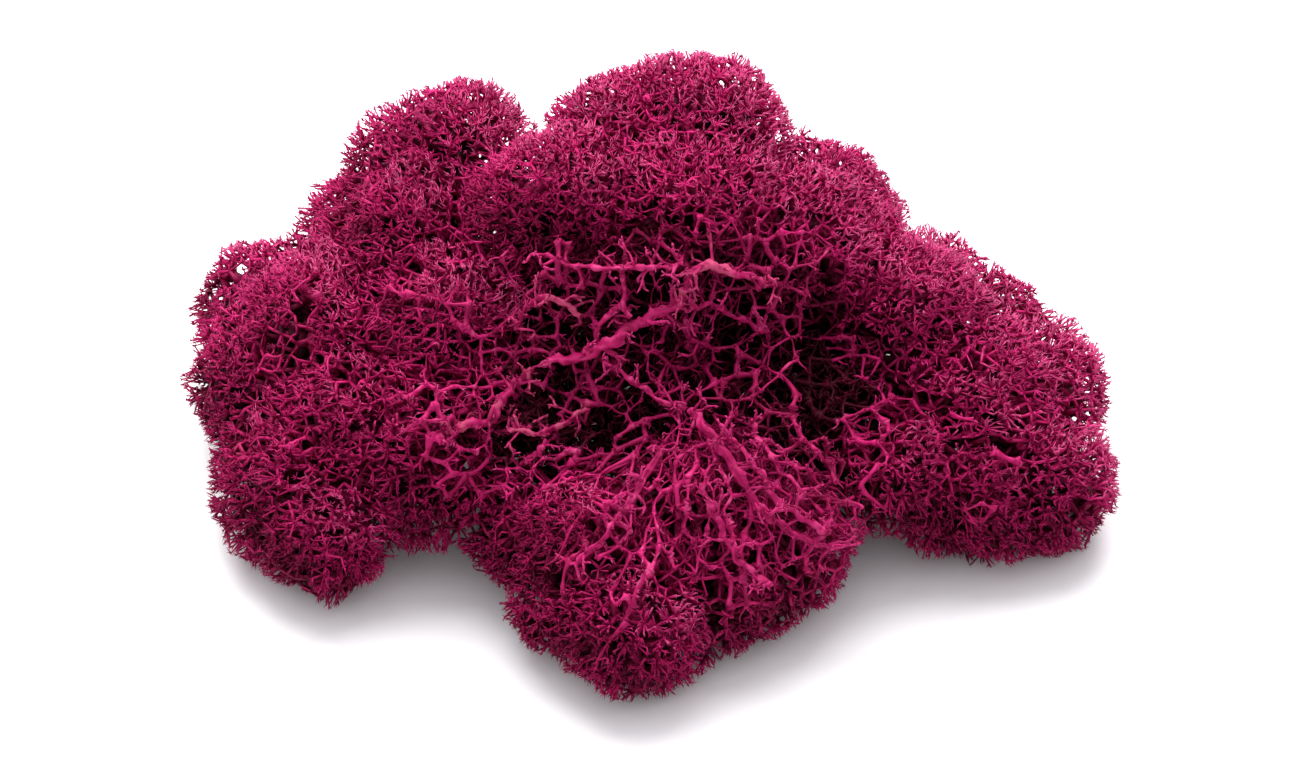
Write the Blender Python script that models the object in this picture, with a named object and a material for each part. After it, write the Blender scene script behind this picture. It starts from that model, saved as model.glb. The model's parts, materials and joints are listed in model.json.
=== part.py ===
"""Clump of dyed reindeer moss (a branching lichen), lying loose on a table.

The clump is a tangle of sprigs. Each sprig ends in a crown of fine tips, and here each crown is a
plain closed solid that reaches its tips: an ellipsoid, cut flat where it is pressed against its
neighbours and where it lies on the table. The bare stems that show in the open hollow are tapered
tubes, split at their main forks.

Units are metres. +Z is up, X runs along the clump's length and -Y is its open side. The origin is
on the table, at the middle of the clump's footprint.
"""

from dataclasses import dataclass
from math import cos, radians, sin

import bmesh
import bpy
from mathutils import Vector
from mathutils.geometry import intersect_point_line

MM = 0.001

GAP = 0.36 * MM  # clearance between one solid and the next
MERGE = 0.4 * MM  # corners closer than this on a cut crown are one corner
MERIDIANS = 12  # of the ball that each crown starts from
PARALLELS = 8
FOOTPRINT_Y = 13.6 * MM  # from the drawing's cross axis to the middle of the footprint
FOOTPRINT_X = 0.45 * MM  # from the drawing's long axis to the middle of the footprint

# The open side of the clump leans back: its stems are placed across it, up it and proud of it.
SLOPE = radians(45.0)

STEM_SIDES = 1  # bevel resolution of the stem tubes

DYE = (0.27, 0.008, 0.075, 1.0)
DYE_DEEP = (0.10, 0.003, 0.028, 1.0)
DYE_STEM = (0.36, 0.03, 0.12, 1.0)
DYE_PALE = (0.42, 0.12, 0.17, 1.0)


@dataclass
class Crown:
    """One crown of fine tips: centre and radii in millimetres, in the drawing's frame."""

    name: str
    across: float
    back: float
    up: float
    wide: float
    deep: float
    tall: float

    def centre(self):
        """Centre in metres."""
        return Vector((self.across, self.back, self.up)) * MM

    def reach(self, direction):
        """How far the ellipsoid reaches from its centre along a unit direction."""
        return Vector(
            (
                self.wide * direction.x * MM,
                self.deep * direction.y * MM,
                self.tall * direction.z * MM,
            )
        ).length


@dataclass
class Stem:
    """One bare stem: stations of (across, up the slope, proud of it, radius), in millimetres."""

    name: str
    finish: str
    stations: tuple


CROWNS = (
    # the toe at the front
    Crown("toe_tip", -2.0, -50.2, 7.5, 9.0, 8.0, 7.9),
    Crown("toe_sprig", -12.3, -45.4, 5.4, 4.0, 4.0, 4.0),
    Crown("toe_right", 8.8, -42.3, 7.4, 8.4, 7.7, 7.7),
    Crown("fan_right", 17.2, -37.0, 10.0, 7.7, 8.5, 8.5),
    Crown("fan_left", -6.3, -39.5, 12.9, 8.8, 8.7, 8.3),
    Crown("fan_middle", 6.5, -34.5, 14.5, 9.0, 9.5, 8.5),
    Crown("front_left", -15.3, -32.7, 7.3, 7.0, 7.3, 7.4),
    # the left wing
    Crown("belly_left", -27.0, -28.2, 12.8, 7.8, 7.5, 7.3),
    Crown("foot_left_toe", -39.0, -35.0, 6.8, 7.2, 7.2, 7.3),
    Crown("foot_left_outer", -45.5, -26.0, 7.8, 7.5, 8.5, 8.6),
    Crown("flank_left", -48.8, -11.0, 9.5, 7.5, 9.0, 8.5),
    Crown("tip_left", -47.5, 3.8, 9.0, 8.8, 8.3, 8.5),
    Crown("shoulder_left", -34.7, 8.2, 16.6, 7.0, 7.0, 7.8),
    # the upper left dome
    Crown("dome_small", -30.6, 12.0, 26.8, 5.2, 5.0, 5.0),
    Crown("dome_left", -23.0, 10.0, 31.2, 7.6, 7.5, 8.2),
    # the crown at the top
    Crown("top_left", -3.8, 6.5, 35.6, 7.7, 8.0, 7.6),
    Crown("top_middle", 7.0, 6.5, 37.6, 9.8, 8.6, 8.6),
    Crown("slope_right", 21.8, 3.2, 27.6, 7.8, 7.5, 7.7),
    # the right wing
    Crown("shoulder_right", 35.4, 1.1, 15.8, 5.4, 5.5, 5.3),
    Crown("tip_right_upper", 43.0, -2.6, 12.4, 5.5, 5.8, 5.8),
    Crown("tip_right", 49.4, -11.8, 9.5, 6.6, 7.5, 7.4),
    Crown("foot_right_outer", 49.4, -26.0, 7.4, 7.8, 7.5, 8.1),
    Crown("foot_right", 39.0, -27.4, 7.6, 8.5, 8.0, 8.3),
    Crown("belly_right", 29.0, -27.6, 12.6, 7.0, 6.9, 6.7),
    # the face towards the viewer
    Crown("middle_left_upper", -28.5, 0.0, 25.5, 8.5, 8.5, 8.5),
    Crown("upper_left", -11.0, -4.5, 34.5, 10.4, 8.8, 8.8),
    Crown("upper_middle", 5.4, -6.8, 35.8, 10.4, 8.6, 8.4),
    Crown("upper_right", 19.0, -7.0, 30.0, 8.5, 8.5, 8.5),
    Crown("middle_right", 31.0, -10.5, 21.5, 9.2, 9.2, 9.2),
    Crown("low_right", 39.5, -17.5, 14.5, 9.2, 9.0, 8.5),
    Crown("middle_left", -38.8, -8.5, 17.0, 9.5, 9.5, 9.5),
    Crown("low_left", -35.3, -22.0, 13.5, 9.0, 9.0, 8.5),
    Crown("centre_left", -24.0, -13.5, 23.5, 9.0, 8.5, 8.5),
    Crown("low_centre_left", -26.0, -22.5, 16.5, 7.5, 7.2, 7.2),
    # the bottom of the open hollow
    Crown("inner_left", -8.2, -8.2, 19.2, 11.2, 9.0, 9.0),
    Crown("inner_right", 9.6, -6.8, 18.4, 11.0, 9.2, 9.2),
    Crown("hollow_left", -13.0, -20.5, 13.8, 10.4, 9.2, 8.8),
    Crown("hollow_middle", 2.5, -20.0, 14.8, 10.6, 9.6, 9.0),
    Crown("hollow_right", 20.5, -17.0, 11.8, 10.4, 9.6, 9.0),
    # the back, down to the table
    Crown("back_left", -29.5, 10.0, 9.6, 11.5, 10.5, 10.5),
    Crown("back_centre_left", -12.0, 15.0, 10.1, 11.0, 11.0, 11.0),
    Crown("back_upper", 3.0, 15.0, 25.0, 10.5, 9.5, 9.5),
    Crown("back_centre", 6.0, 20.5, 9.6, 11.0, 10.5, 10.5),
    Crown("back_right", 22.0, 10.5, 10.6, 11.5, 11.5, 11.5),
)

STEMS = (
    # the arm across the hollow, from its left root to its fork
    Stem(
        "arm_main",
        "stem",
        (
            (-12.1, 1.9, 35.5, 0.60),
            (-5.8, 3.7, 37.0, 0.85),
            (-3.0, 5.9, 37.0, 0.84),
            (0.6, 7.6, 37.0, 0.80),
            (3.6, 9.2, 36.8, 0.65),
        ),
    ),
    Stem(
        "arm_down",
        "stem",
        (
            (-4.6, 1.6, 36.4, 0.55),
            (-2.6, 0.2, 36.4, 0.50),
            (0.0, -1.8, 36.8, 0.48),
            (3.5, -3.2, 37.4, 0.42),
        ),
    ),
    Stem(
        "arm_up",
        "pale",
        (
            (4.2, 10.8, 38.0, 0.50),
            (4.6, 12.4, 38.6, 0.60),
            (6.2, 13.6, 38.6, 0.65),
            (9.4, 13.0, 38.0, 0.62),
            (14.3, 11.5, 36.4, 0.45),
        ),
    ),
    Stem(
        "arm_top_left",
        "stem",
        (
            (3.2, 13.6, 38.8, 0.48),
            (-2.0, 13.2, 38.6, 0.45),
            (-8.0, 13.4, 37.6, 0.42),
            (-11.8, 14.6, 37.0, 0.40),
        ),
    ),
    Stem(
        "arm_right",
        "stem",
        (
            (5.4, 8.6, 36.6, 0.50),
            (7.8, 8.8, 36.0, 0.50),
            (9.9, 7.6, 35.2, 0.45),
            (13.4, 6.1, 34.4, 0.40),
        ),
    ),
    Stem(
        "arm_ring",
        "stem",
        ((4.6, 6.6, 35.4, 0.45), (4.6, 5.0, 34.6, 0.42), (7.6, 3.7, 34.0, 0.40)),
    ),
    Stem(
        "arm_tine",
        "stem",
        ((-3.0, 11.8, 37.4, 0.40), (-3.2, 10.0, 37.4, 0.43), (-2.6, 8.0, 37.6, 0.48)),
    ),
    # the pale arms among the left crowns
    Stem(
        "antler_left",
        "pale",
        (
            (-15.6, 6.8, 35.6, 0.45),
            (-13.9, 9.6, 36.4, 0.50),
            (-11.2, 9.4, 36.4, 0.46),
            (-9.0, 8.2, 35.8, 0.40),
        ),
    ),
    Stem(
        "pale_arm",
        "pale",
        (
            (-24.6, -6.2, 36.2, 0.55),
            (-21.0, -5.2, 36.0, 0.75),
            (-18.6, -4.6, 35.6, 0.78),
            (-16.6, -1.0, 34.8, 0.58),
            (-14.6, 0.6, 34.4, 0.48),
        ),
    ),
    Stem(
        "pale_fork_right",
        "pale",
        (
            (-16.6, -5.8, 35.4, 0.50),
            (-14.2, -6.6, 35.6, 0.55),
            (-11.6, -5.8, 35.6, 0.50),
            (-8.0, -3.8, 35.2, 0.40),
        ),
    ),
    Stem(
        "pale_fork_down",
        "stem",
        ((-12.8, -8.0, 35.4, 0.48), (-13.8, -9.2, 35.2, 0.46), (-15.2, -10.4, 34.6, 0.40)),
    ),
    # the stems that fan out over the toe
    Stem(
        "fan_stem_upper",
        "stem",
        (
            (12.2, -5.6, 38.2, 0.42),
            (13.4, -7.8, 39.8, 0.46),
            (15.4, -10.6, 41.0, 0.44),
            (17.6, -12.6, 41.0, 0.40),
        ),
    ),
    Stem(
        "fan_stem_main",
        "stem",
        (
            (5.2, -4.2, 38.4, 0.55),
            (7.6, -7.2, 41.8, 0.62),
            (10.6, -11.4, 43.6, 0.62),
            (13.0, -15.2, 43.4, 0.55),
            (16.6, -18.2, 42.8, 0.48),
            (20.8, -20.0, 41.6, 0.40),
        ),
    ),
    Stem(
        "fan_stem_fork",
        "stem",
        (
            (9.8, -7.4, 41.6, 0.42),
            (12.2, -9.8, 42.4, 0.46),
            (14.2, -13.2, 43.0, 0.44),
            (17.2, -16.0, 42.8, 0.42),
            (20.6, -17.8, 41.8, 0.40),
        ),
    ),
    Stem(
        "fan_stem_low",
        "stem",
        (
            (6.4, -13.0, 44.6, 0.42),
            (8.2, -17.2, 44.9, 0.48),
            (10.0, -20.6, 44.8, 0.45),
            (13.6, -24.0, 44.8, 0.40),
        ),
    ),
    Stem(
        "fan_stem_left",
        "stem",
        (
            (1.0, -9.0, 41.2, 0.42),
            (-2.4, -14.4, 44.4, 0.45),
            (-5.2, -18.4, 46.2, 0.43),
            (-8.4, -21.4, 46.0, 0.40),
        ),
    ),
)


def clear_scene():
    """Remove the objects that the scene starts with."""
    for thing in list(bpy.data.objects):
        bpy.data.objects.remove(thing, do_unlink=True)


def dyed(name, colour, roughness):
    """A matt dyed material."""
    material = bpy.data.materials.new(name)
    material.use_nodes = True
    shader = material.node_tree.nodes["Principled BSDF"]
    shader.inputs["Base Color"].default_value = colour
    shader.inputs["Roughness"].default_value = roughness
    shader.inputs["Metallic"].default_value = 0.0
    return material


def on_slope(across, up, proud):
    """Point in metres from its place across, up and proud of the leaning open side."""
    back = up * sin(SLOPE) - proud * cos(SLOPE)
    height = up * cos(SLOPE) + proud * sin(SLOPE)
    return Vector((across, back, height)) * MM


def close_hull(shape):
    """Close a cut convex shape again, over the corners that are left."""
    bmesh.ops.delete(shape, geom=list(shape.edges) + list(shape.faces), context="EDGES_FACES")
    bmesh.ops.remove_doubles(shape, verts=shape.verts, dist=MERGE)
    hull = bmesh.ops.convex_hull(shape, input=shape.verts)
    inside = [v for v in hull["geom_interior"] if isinstance(v, bmesh.types.BMVert)]
    bmesh.ops.delete(shape, geom=inside, context="VERTS")
    bmesh.ops.recalc_face_normals(shape, faces=shape.faces)


def cut_flat(shape, point, outward):
    """Cut away what lies beyond a plane."""
    everything = list(shape.verts) + list(shape.edges) + list(shape.faces)
    bmesh.ops.bisect_plane(
        shape, geom=everything, plane_co=point, plane_no=outward, clear_outer=True
    )
    close_hull(shape)


def press_together(shape, crown, other):
    """Cut a crown flat where its neighbour presses on it, half the gap short of the contact."""
    between = other.centre() - crown.centre()
    span = between.length
    direction = between.normalized()
    own = crown.reach(direction)
    theirs = other.reach(direction)
    if own + theirs + GAP < span:
        return
    contact = (span * span + own * own - theirs * theirs) / (2 * span)
    if contact - GAP / 2 < own:
        cut_flat(shape, crown.centre() + direction * (contact - GAP / 2), direction)


def make_room(shape, crown, stem):
    """Cut a crown flat under each stretch of a bare stem that would run into it."""
    for start, end in zip(stem.stations, stem.stations[1:]):
        line = on_slope(*start[:3]), on_slope(*end[:3])
        nearest, share = intersect_point_line(crown.centre(), *line)
        nearest = line[0].lerp(line[1], min(max(share, 0.0), 1.0))
        direction = (nearest - crown.centre()).normalized()
        room = (nearest - crown.centre()).length - max(start[3], end[3]) * MM - GAP
        if room < max(direction.dot(v.co - crown.centre()) for v in shape.verts):
            cut_flat(shape, crown.centre() + direction * room, direction)


def make_crown(crown, materials):
    """One crown: a ball stretched to its radii and cut by its neighbours, stems and the table."""
    shape = bmesh.new()
    bmesh.ops.create_uvsphere(
        shape, u_segments=MERIDIANS, v_segments=PARALLELS, radius=1.0
    )
    stretch = Vector((crown.wide, crown.deep, crown.tall)) * MM
    bmesh.ops.scale(shape, vec=stretch, verts=shape.verts)
    bmesh.ops.translate(shape, vec=crown.centre(), verts=shape.verts)
    for other in CROWNS:
        if other is not crown:
            press_together(shape, crown, other)
    for stem in STEMS:
        make_room(shape, crown, stem)
    if min(v.co.z for v in shape.verts) < 0.0:
        cut_flat(shape, Vector((0.0, 0.0, 0.0)), Vector((0.0, 0.0, -1.0)))
    bmesh.ops.translate(
        shape, vec=Vector((-FOOTPRINT_X, FOOTPRINT_Y, 0.0)), verts=shape.verts
    )
    mesh = bpy.data.meshes.new(crown.name)
    shape.to_mesh(mesh)
    shape.free()
    mesh.shade_smooth()
    mesh.set_sharp_from_angle(angle=radians(35.0))
    deep = crown.name.startswith(("hollow", "inner"))
    mesh.materials.append(materials["hollow" if deep else "crown"])
    return bpy.data.objects.new(crown.name, mesh)


def make_stem(stem, materials):
    """One bare stem: a tapered tube through its stations."""
    curve = bpy.data.curves.new(stem.name, "CURVE")
    curve.dimensions = "3D"
    curve.bevel_depth = MM
    curve.bevel_resolution = STEM_SIDES
    curve.use_fill_caps = True
    spline = curve.splines.new("POLY")
    spline.points.add(len(stem.stations) - 1)
    shift = Vector((-FOOTPRINT_X, FOOTPRINT_Y, 0.0))
    for point, station in zip(spline.points, stem.stations):
        point.co = (on_slope(*station[:3]) + shift).to_4d()
        point.radius = station[3]
    curve.materials.append(materials[stem.finish])
    return bpy.data.objects.new(stem.name, curve)


def main():
    """Build the clump."""
    clear_scene()
    clump = bpy.data.collections.new("moss_clump")
    bpy.context.scene.collection.children.link(clump)
    materials = {
        "crown": dyed("dyed_tips", DYE, 0.85),
        "hollow": dyed("dyed_tips_deep", DYE_DEEP, 0.9),
        "stem": dyed("dyed_stem", DYE_STEM, 0.75),
        "pale": dyed("pale_stem", DYE_PALE, 0.8),
    }
    for crown in CROWNS:
        clump.objects.link(make_crown(crown, materials))
    for stem in STEMS:
        clump.objects.link(make_stem(stem, materials))


main()
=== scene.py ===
"""Looks of a loose clump of dyed reindeer moss, grown around its solid parts.

Every crown of tips is grown as one sprig: fine tips stand on its outside, gather in small bunches,
and the bunches join in thicker and thicker branches down to the sprig's root. On the open side of
the clump the tips give way to a net of bare branches, with the thick stems over it.

All shapes are worked out in millimetres in the part's own frame and turned into metres when they
are put into a mesh.
"""

import json
import logging
import math
import sys
from dataclasses import dataclass, field, replace
from enum import Enum
from typing import ClassVar

import bpy
import numpy as np
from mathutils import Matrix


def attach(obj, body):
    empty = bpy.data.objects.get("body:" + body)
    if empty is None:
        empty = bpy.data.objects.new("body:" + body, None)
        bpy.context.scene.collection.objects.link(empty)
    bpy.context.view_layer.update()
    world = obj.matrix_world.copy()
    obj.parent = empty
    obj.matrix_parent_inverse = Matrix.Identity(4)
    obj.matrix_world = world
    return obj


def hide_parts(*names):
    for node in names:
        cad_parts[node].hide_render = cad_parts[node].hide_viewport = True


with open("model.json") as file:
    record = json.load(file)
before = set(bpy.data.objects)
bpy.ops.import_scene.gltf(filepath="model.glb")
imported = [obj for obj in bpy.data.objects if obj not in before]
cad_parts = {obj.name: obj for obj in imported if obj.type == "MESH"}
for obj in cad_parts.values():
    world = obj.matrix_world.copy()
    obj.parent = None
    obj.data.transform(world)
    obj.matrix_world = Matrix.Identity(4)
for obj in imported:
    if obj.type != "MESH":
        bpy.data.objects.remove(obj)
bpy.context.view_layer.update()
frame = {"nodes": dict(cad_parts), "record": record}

LOG = logging.getLogger("moss")

MM = 0.001
GOLDEN_TURN = math.pi * (3.0 - math.sqrt(5.0))
SLOPE = math.radians(45.0)  # how far the clump's open side leans back
SLOPE_FOOT = np.array([-0.45, 13.6, 0.0])  # where the lines of the open side are measured from, mm
TOWARDS_VIEW = np.array([0.0, -math.cos(SLOPE), math.sin(SLOPE)])
UP_THE_SLOPE = np.array([0.0, math.sin(SLOPE), math.cos(SLOPE)])
LIT_SIDE = np.array([0.5, 0.38, 0.78])  # painted light: moss facing this way is painted brightest, moss facing away darker
FLOOR_CLEARANCE = 0.05  # mm, the lowest that any branch lies
SHAKE = 0.27  # how far the forks of a grid are moved at random, as a share of its step
ROW = 0.866  # height of the rows of a triangular grid, as a share of its step
NEAREST = 8  # places around each one among which its neighbours are looked for
NEARLY = 0.97  # a third place this much nearer, as a share, still doesn't part two neighbours
SEED = 411


class Body(Enum):
    """The rigid bodies of the part."""

    ROOT = "root"


class Slot(Enum):
    """The material slots that the pieces take their finish from."""

    TIPS = "dyed_tips"
    # painted shade: a much darker copy of the tips' finish, for crowns deep in the hollow
    DEEP_TIPS = "dyed_tips_deep"
    STEM = "dyed_stem"
    PALE_STEM = "pale_stem"


def unit(vectors: np.ndarray) -> np.ndarray:
    """Scale vectors to length one.

    Args:
        vectors: array whose last axis holds x, y and z.

    Returns:
        The same array of directions.
    """
    return vectors / np.maximum(np.linalg.norm(vectors, axis=-1, keepdims=True), 1e-9)


def generator(offset: int) -> np.random.Generator:
    """A source of chance of its own for one piece."""
    return np.random.default_rng(SEED + offset)


def smooth_step(value: np.ndarray, low: float, high: float) -> np.ndarray:
    """Ease from 0 to 1 as a value goes from low to high, by 3t^2 - 2t^3.

    Args:
        value: the numbers to ease.
        low: where the result is still 0.
        high: where the result is 1.

    Returns:
        Numbers from 0 to 1.
    """
    t = np.clip((value - low) / (high - low), 0.0, 1.0)
    return t * t * (3.0 - 2.0 * t)


def even_directions(count: int, rng: np.random.Generator, jitter: float) -> np.ndarray:
    """Directions spread evenly over a sphere, then shaken.

    The k-th direction has height 1 - 2k/n and turns by the golden angle from the one before. Each
    is then moved at random by a share of the mean spacing, and all are turned at random.

    Args:
        count: how many directions.
        rng: source of chance.
        jitter: move, as a share of the mean spacing.

    Returns:
        Array (count, 3) of unit directions.
    """
    step = np.arange(count) + 0.5
    height = 1.0 - 2.0 * step / count
    ring = np.sqrt(1.0 - height**2)
    turn = GOLDEN_TURN * step
    even = np.stack([ring * np.cos(turn), ring * np.sin(turn), height], 1)
    spacing = math.sqrt(4.0 * math.pi / count)
    even = unit(even + rng.normal(size=even.shape) * spacing * jitter)
    axes, _ = np.linalg.qr(rng.normal(size=(3, 3)))
    return even @ axes


def swell(points: np.ndarray, size: float, seed: int) -> np.ndarray:
    """Slow lumps in space: the mean of six sine waves in random directions.

    Args:
        points: array (n, 3) of places in millimetres.
        size: length of one lump in millimetres.
        seed: picks the waves.

    Returns:
        Array (n,) of values around 0, mostly from -1 to 1.
    """
    rng = np.random.default_rng(seed)
    waves = unit(rng.normal(size=(6, 3))) * rng.uniform(0.7, 1.4, (6, 1)) * math.pi / size
    phase = rng.uniform(0.0, 2.0 * math.pi, 6)
    return np.sin(points @ waves.T + phase).sum(1) / 2.4


def painted_facing_light(outward: np.ndarray) -> np.ndarray:
    """Painted light on moss that faces along outward directions: brightest towards the lit side, up
    and back.

    Args:
        outward: array (n, 3) of unit directions.

    Returns:
        Array (n,) from 0.55 to 1.
    """
    return 0.55 + 0.45 * smooth_step(outward @ LIT_SIDE, -0.55, 0.7)


def to_slope(points: np.ndarray) -> np.ndarray:
    """Places as (across, up the open side, proud of it).

    Args:
        points: array (n, 3) in the part's frame, millimetres.

    Returns:
        Array (n, 3) in the frame of the open side.
    """
    own = points - SLOPE_FOOT
    return np.stack([own[:, 0], own @ UP_THE_SLOPE, own @ TOWARDS_VIEW], 1)


def from_slope(places: np.ndarray) -> np.ndarray:
    """The inverse of to_slope.

    Args:
        places: array (n, 3) as (across, up, proud), millimetres.

    Returns:
        Array (n, 3) in the part's frame.
    """
    across, up, proud = places.T[:, :, None]
    along = np.array([1.0, 0.0, 0.0])
    return SLOPE_FOOT + across * along + up * UP_THE_SLOPE + proud * TOWARDS_VIEW


def neighbours(places: np.ndarray, farthest: float, flow: np.ndarray, stretch: float) -> np.ndarray:
    """Pairs of places with no third place nearer to both of them than they are to each other.

    Distances along the flow count for less than those across it, so the pairs follow the flow.

    Args:
        places: array (n, 3).
        farthest: longest pair, mm.
        flow: array (n, 3), the direction of growth at each place, as long as it is strict, up to 1.
        stretch: how much less a distance along a strict flow counts.

    Returns:
        Array (m, 2) of indices.
    """
    if len(places) <= NEAREST:
        return np.zeros((0, 2), int)
    step = places[:, None] - places[None]
    along = (step * flow[:, None]).sum(2)
    along = (along**2 + along.T**2) / 2.0
    apart = np.sqrt(np.maximum((step**2).sum(2) - (1.0 - stretch**-2) * along, 0.0))
    np.fill_diagonal(apart, np.inf)
    near = np.argpartition(apart, NEAREST, axis=1)[:, :NEAREST]
    first = np.repeat(np.arange(len(places)), NEAREST)
    second = near.ravel()
    once = (first < second) | ~(near[second] == first[:, None]).any(1)
    first, second = first[once], second[once]
    span = apart[first, second]
    by_first = np.maximum(apart[first[:, None], near[first]], apart[second[:, None], near[first]])
    by_second = np.maximum(apart[first[:, None], near[second]], apart[second[:, None], near[second]])
    third = np.minimum(by_first, by_second).min(1)
    kept = (third >= NEARLY * span) & (span < farthest)
    return np.stack([first[kept], second[kept]], 1)


def arched(
    start: np.ndarray,
    end: np.ndarray,
    leave: np.ndarray,
    arrive: np.ndarray,
    stations: np.ndarray,
) -> np.ndarray:
    """Curves from start to end: cubic Hermite arcs whose end slopes are as long as the chord.

    Args:
        start: array (n, 3) of first points.
        end: array (n, 3) of last points.
        leave: array (n, 3), the unit direction at the start.
        arrive: array (n, 3), the unit direction at the end.
        stations: array (r,) of places along the curve, from 0 to 1.

    Returns:
        Array (n, r, 3) of points.
    """
    t = stations[None, :, None]
    span = np.linalg.norm(end - start, axis=1)[:, None, None]
    first, last = start[:, None], end[:, None]
    out, into = leave[:, None] * span, arrive[:, None] * span
    return (
        (2 * t**3 - 3 * t**2 + 1) * first
        + (t**3 - 2 * t**2 + t) * out
        + (3 * t**2 - 2 * t**3) * last
        + (t**3 - t**2) * into
    )


@dataclass
class Tubes:
    """Branches of one order: tubes with the same number of sides and rings.

    Attributes:
        paths: array (n, rings, 3) of ring centres, mm.
        radii: array (n, rings), mm.
        age: array (n, rings), the painted light and tone: 0 in the painted shade deep in the clump
            and 1 at its lit outside.
        tint: array (n,), each branch's own shade from 0 to 1.
        sides: sides of each ring.
        pointed: whether the last ring is drawn in to a point.
        rough: how far the skin goes in and out, as a share of the radius.
    """

    FLAT: ClassVar[float] = 0.6  # how far rough branches are flattened, as a share of the roughness
    PIT_SHADE: ClassVar[float] = 0.42  # painted shade: how much lighter raised skin and darker its pits are painted, as a share of the same

    paths: np.ndarray
    radii: np.ndarray
    age: np.ndarray
    tint: np.ndarray
    sides: int
    pointed: bool = False
    rough: float = 0.0

    def part(self, picked: np.ndarray) -> "Tubes":
        """Take some of the branches.

        Args:
            picked: array (n,) of booleans.

        Returns:
            The picked ones.
        """
        return replace(
            self,
            paths=self.paths[picked],
            radii=self.radii[picked],
            age=self.age[picked],
            tint=self.tint[picked],
        )

    def shape(self, rng: np.random.Generator) -> tuple[np.ndarray, np.ndarray, np.ndarray]:
        """Work out the tubes' surfaces.

        Ring k lies square to the path there: its corners are centre + r (cos a u + sin a v), where u
        and v are two directions square to the path and a goes round in equal steps. On rough ones r
        is multiplied by 1 + rough (lumps + FLAT cos 2a), and the lumps are painted lighter where the
        skin is raised and darker in its pits, as painted shade.

        Args:
            rng: source of chance, for how each tube is turned about its path.

        Returns:
            Corners (m, 3), triangles (f, 3) and map places (m, 2).
        """
        count, rings, _ = self.paths.shape
        along = unit(np.gradient(self.paths, axis=1))
        sideways = rng.normal(size=(count, 1, 3))
        first = unit(sideways - (sideways * along).sum(2, keepdims=True) * along)
        second = np.cross(along, first)
        angle = np.arange(self.sides) * 2.0 * math.pi / self.sides
        radii = self.radii.copy()
        if self.pointed:
            radii[:, -1] = 0.0
        rim = (
            np.cos(angle)[:, None] * first[:, :, None]
            + np.sin(angle)[:, None] * second[:, :, None]
        )
        reach = np.broadcast_to(radii[:, :, None], rim.shape[:3])
        age = np.broadcast_to(self.age[:, :, None], rim.shape[:3])
        if self.rough:
            skin = (self.paths[:, :, None] + reach[..., None] * rim).reshape(-1, 3)
            bumps = 0.65 * swell(skin, 0.9, 51) + 0.5 * swell(skin, 0.4, 52)
            bumps = bumps.reshape(reach.shape)
            flat = self.FLAT * np.cos(2.0 * angle)
            reach = reach * (1.0 + self.rough * (bumps + flat))
            # painted shade: raised skin painted lighter, pits darker
            age = age + self.PIT_SHADE * self.rough * bumps
        corners = self.paths[:, :, None] + reach[..., None] * rim
        place = np.stack(
            np.broadcast_arrays(
                age,
                self.tint[:, None, None] * 0.9 + 0.02 + 0.06 * np.arange(self.sides) / self.sides,
            ),
            -1,
        )
        kept = rings * self.sides
        corners, place = corners.reshape(count, kept, 3), place.reshape(count, kept, 2)
        if self.pointed:
            kept = kept - self.sides + 1
            corners, place = corners[:, :kept], place[:, :kept]
        faces = self.faces(rings)
        faces = faces[None] + (np.arange(count) * kept)[:, None, None]
        return corners.reshape(-1, 3), faces.reshape(-1, 3), place.reshape(-1, 2)

    def faces(self, rings: int) -> np.ndarray:
        """List the triangles of one tube: two for each side of each stretch, and its closed ends.

        Args:
            rings: of the tube.

        Returns:
            Array (f, 3) of corners.
        """
        side = np.arange(self.sides)
        after = (side + 1) % self.sides
        fan = np.stack([np.zeros(self.sides - 2, int), side[1:-1], side[2:]], 1)
        stretches = rings - 2 if self.pointed else rings - 1
        found = [fan[:, ::-1]]
        for k in range(stretches):
            low, high = k * self.sides, (k + 1) * self.sides
            found.append(np.stack([low + side, low + after, high + after], 1))
            found.append(np.stack([low + side, high + after, high + side], 1))
        last = stretches * self.sides
        if self.pointed:
            apex = np.full(self.sides, last + self.sides)
            found.append(np.stack([last + side, last + after, apex], 1))
        else:
            found.append(fan + last)
        return np.concatenate(found)


@dataclass
class Growth:
    """All branches of one piece, and the mesh made of them."""

    name: str
    rng: np.random.Generator
    tubes: list[Tubes] = field(default_factory=list)

    def add(self, tubes: Tubes) -> None:
        """Take in more branches."""
        if len(tubes.paths):
            self.tubes.append(tubes)

    def build(self) -> bpy.types.Object:
        """Make the piece's mesh object.

        Returns:
            The object, in the scene, with its map of painted light and of each branch's own tone.
        """
        shapes = [tubes.shape(self.rng) for tubes in self.tubes]
        starts = np.cumsum([0] + [len(corners) for corners, _, _ in shapes])
        corners = np.concatenate([part[0] for part in shapes])
        faces = np.concatenate([part[1] + start for part, start in zip(shapes, starts)])
        places = np.concatenate([part[2] for part in shapes])
        corners[:, 2] = np.maximum(corners[:, 2], FLOOR_CLEARANCE)
        mesh = bpy.data.meshes.new(self.name)
        mesh.vertices.add(len(corners))
        mesh.vertices.foreach_set("co", (corners * MM).astype(np.float32).ravel())
        mesh.loops.add(faces.size)
        mesh.loops.foreach_set("vertex_index", faces.astype(np.int32).ravel())
        mesh.polygons.add(len(faces))
        mesh.polygons.foreach_set("loop_start", np.arange(0, faces.size, 3, dtype=np.int32))
        mesh.update(calc_edges=True)
        mesh.shade_smooth()
        layer = mesh.uv_layers.new(name="OFBake")
        layer.uv.foreach_set(
            "vector", np.clip(places[faces.ravel()], 0.01, 0.99).astype(np.float32).ravel()
        )
        piece = bpy.data.objects.new(self.name, mesh)
        bpy.context.scene.collection.objects.link(piece)
        return piece


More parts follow.
